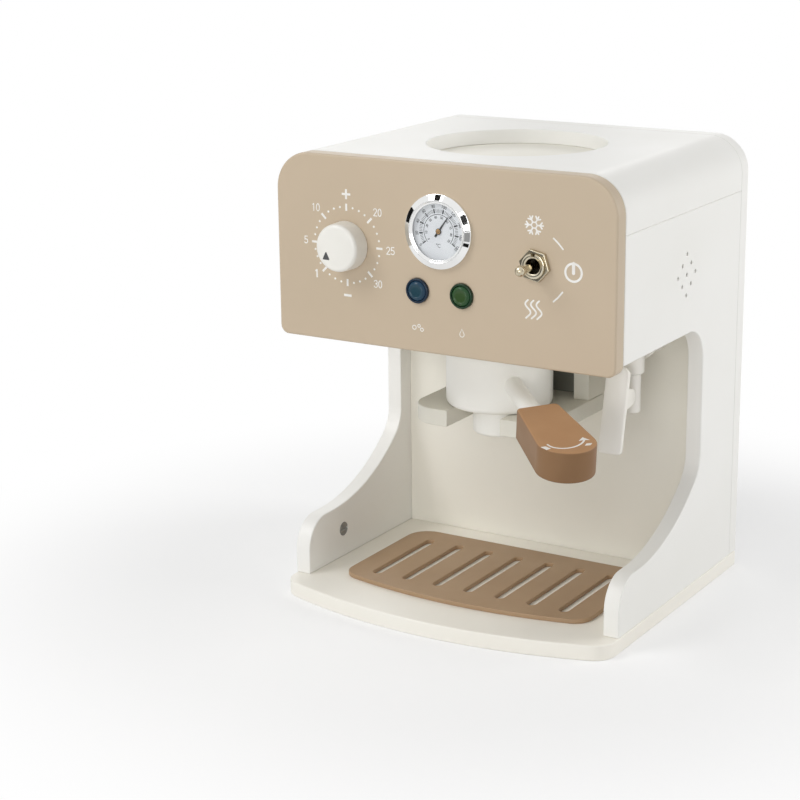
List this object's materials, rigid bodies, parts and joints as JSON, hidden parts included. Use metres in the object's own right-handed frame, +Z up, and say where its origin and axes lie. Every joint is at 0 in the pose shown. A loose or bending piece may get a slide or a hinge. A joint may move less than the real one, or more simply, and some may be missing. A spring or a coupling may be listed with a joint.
{
  "type": "toy coffee maker",
  "caption": "Wooden toy coffee maker with a control panel, a swivelling slide-in portafilter with a handle, a lever tap, a round well in its top and a lift-out drip tray.",
  "frame": {"origin": "the middle of the base board's underside: on the body's centre plane, halfway between the tip of the bowed front edge and the back board's back face, in the plane it stands on", "axes": "+Z up, the front panel faces -Y, and +X is to the right of someone facing the panel, on the tap's side"},
  "size_m": [0.1853, 0.1884, 0.23],
  "materials": {
    "white_board": "smooth matt white paint on fibreboard",
    "tan_panel": "satin tan paint on fibreboard",
    "inner_board": "thin white-painted fibreboard",
    "bare_wood": "bare beech dowel",
    "white_wood": "white-painted turned wood",
    "brown_wood": "brown-stained and lacquered wood",
    "brown_tray": "brown-painted fibreboard",
    "zinc": "zinc-plated steel",
    "nut_steel": "dull zinc-plated steel",
    "tap_white": "smooth white moulded plastic",
    "tap_nut": "white moulded plastic",
    "pin_steel": "bright steel",
    "knob_cream": "cream-painted turned wood",
    "bezel_chrome": "polished chrome",
    "case_plastic": "moulded plastic",
    "dial_card": "printed card",
    "coil_brass": "bimetal strip",
    "pointer_black": "matt black painted steel",
    "hub_brass": "polished brass",
    "glass": "flat clear glass",
    "rim_blue": "dark blue plastic",
    "rim_green": "dark green plastic",
    "cap_blue": "glossy translucent blue plastic",
    "cap_green": "glossy translucent green plastic",
    "black_plastic": "black moulded plastic",
    "toggle_metal": "nickel-plated brass with a yellow cast",
    "bat_metal": "nickel-plated steel",
    "speaker_black": "black painted steel",
    "cone_paper": "black paper cone",
    "board_green": "green circuit board",
    "battery_case": "light moulded plastic",
    "contact_metal": "nickel-plated spring steel",
    "cell_wrap": "steel cell in plain film"
  },
  "bodies": {
    "machine": {"base_board": "white_board", "side_left": "white_board", "side_right": "white_board", "partition": "inner_board", "back_board": "white_board", "top_cover": "white_board", "well_floor": "inner_board", "housing_floor": "inner_board", "front_panel": "tan_panel", "panel_dowels": "bare_wood", "base_bolts": "zinc", "barrel_nuts": "nut_steel", "fork_bracket": "white_board", "post_left": "white_board", "post_right": "white_board", "brew_head": "white_wood", "tap_body": "tap_white", "tap_nut": "tap_nut", "gauge_bezel": "bezel_chrome", "gauge_case": "case_plastic", "gauge_dial": "dial_card", "gauge_coil": "coil_brass", "gauge_glass": "glass", "button_rim_left": "rim_blue", "button_rim_right": "rim_green", "button_nuts": "black_plastic", "toggle_body": "toggle_metal", "toggle_nut": "toggle_metal", "speaker_frame": "speaker_black", "speaker_cone": "cone_paper", "speaker_screws": "zinc", "sound_case": "black_plastic", "sound_board": "board_green", "battery_case": "battery_case", "battery_contacts": "contact_metal", "batteries": "cell_wrap"},
    "tray": {"drip_tray": "brown_tray"},
    "spout": {"portafilter_spout": "white_wood"},
    "portafilter": {"portafilter_cup": "white_wood", "filter_ring": "white_wood", "portafilter_stem": "white_wood", "portafilter_handle": "brown_wood"},
    "tap_handle": {"tap_lever": "tap_white", "tap_pin": "pin_steel"},
    "knob": {"timer_knob": "knob_cream", "knob_spindle": "bare_wood", "knob_washer": "zinc", "knob_screw": "zinc"},
    "pointer": {"gauge_pointer": "pointer_black", "gauge_hub": "hub_brass"},
    "blue_button": {"button_left": "cap_blue"},
    "green_button": {"button_right": "cap_green"},
    "toggle": {"toggle_lever": "bat_metal"},
    "door": {"battery_door": "battery_case", "door_screw": "zinc"}
  },
  "joints": [
    {"name": "tray_lift", "type": "slide", "parent": "machine", "child": "tray", "axis": [0, 0, 1], "range_m": [0, 0.03]},
    {"name": "portafilter_slide", "type": "slide", "parent": "machine", "child": "spout", "axis": [0, -1, 0], "range_m": [0, 0.078]},
    {"name": "portafilter_turn", "type": "hinge", "parent": "spout", "child": "portafilter", "pos_m": [0, -0.0074, 0.1005], "axis": [0, 0, 1], "range_deg": [-44, 26]},
    {"name": "tap_lever_push", "type": "hinge", "parent": "machine", "child": "tap_handle", "pos_m": [0.061, 0.0091, 0.1065], "axis": [1, 0, 0], "range_deg": [0, 20], "stiffness_Nm_per_rad": 0.02, "springref_deg": -5.73},
    {"name": "knob_turn", "type": "hinge", "parent": "machine", "child": "knob", "pos_m": [-0.052, -0.0664, 0.1865], "axis": [0, 1, 0], "continuous": true},
    {"name": "pointer_swing", "type": "hinge", "parent": "machine", "child": "pointer", "pos_m": [0, -0.0664, 0.198], "axis": [0, 1, 0], "range_deg": [-170, 100], "stiffness_Nm_per_rad": 0.00001},
    {"name": "blue_button_press", "type": "slide", "parent": "machine", "child": "blue_button", "axis": [0, 1, 0], "range_m": [0, 0.0015], "stiffness_N_per_m": 300, "springref_m": -0.0005},
    {"name": "green_button_press", "type": "slide", "parent": "machine", "child": "green_button", "axis": [0, 1, 0], "range_m": [0, 0.0015], "stiffness_N_per_m": 300, "springref_m": -0.0005},
    {"name": "toggle_flick", "type": "hinge", "parent": "machine", "child": "toggle", "pos_m": [0.0512, -0.067, 0.1869], "axis": [1, 0, 0], "range_deg": [-12, 12]},
    {"name": "door_off", "type": "slide", "parent": "machine", "child": "door", "axis": [0, 1, 0], "range_m": [0, 0.012]}
  ]
}
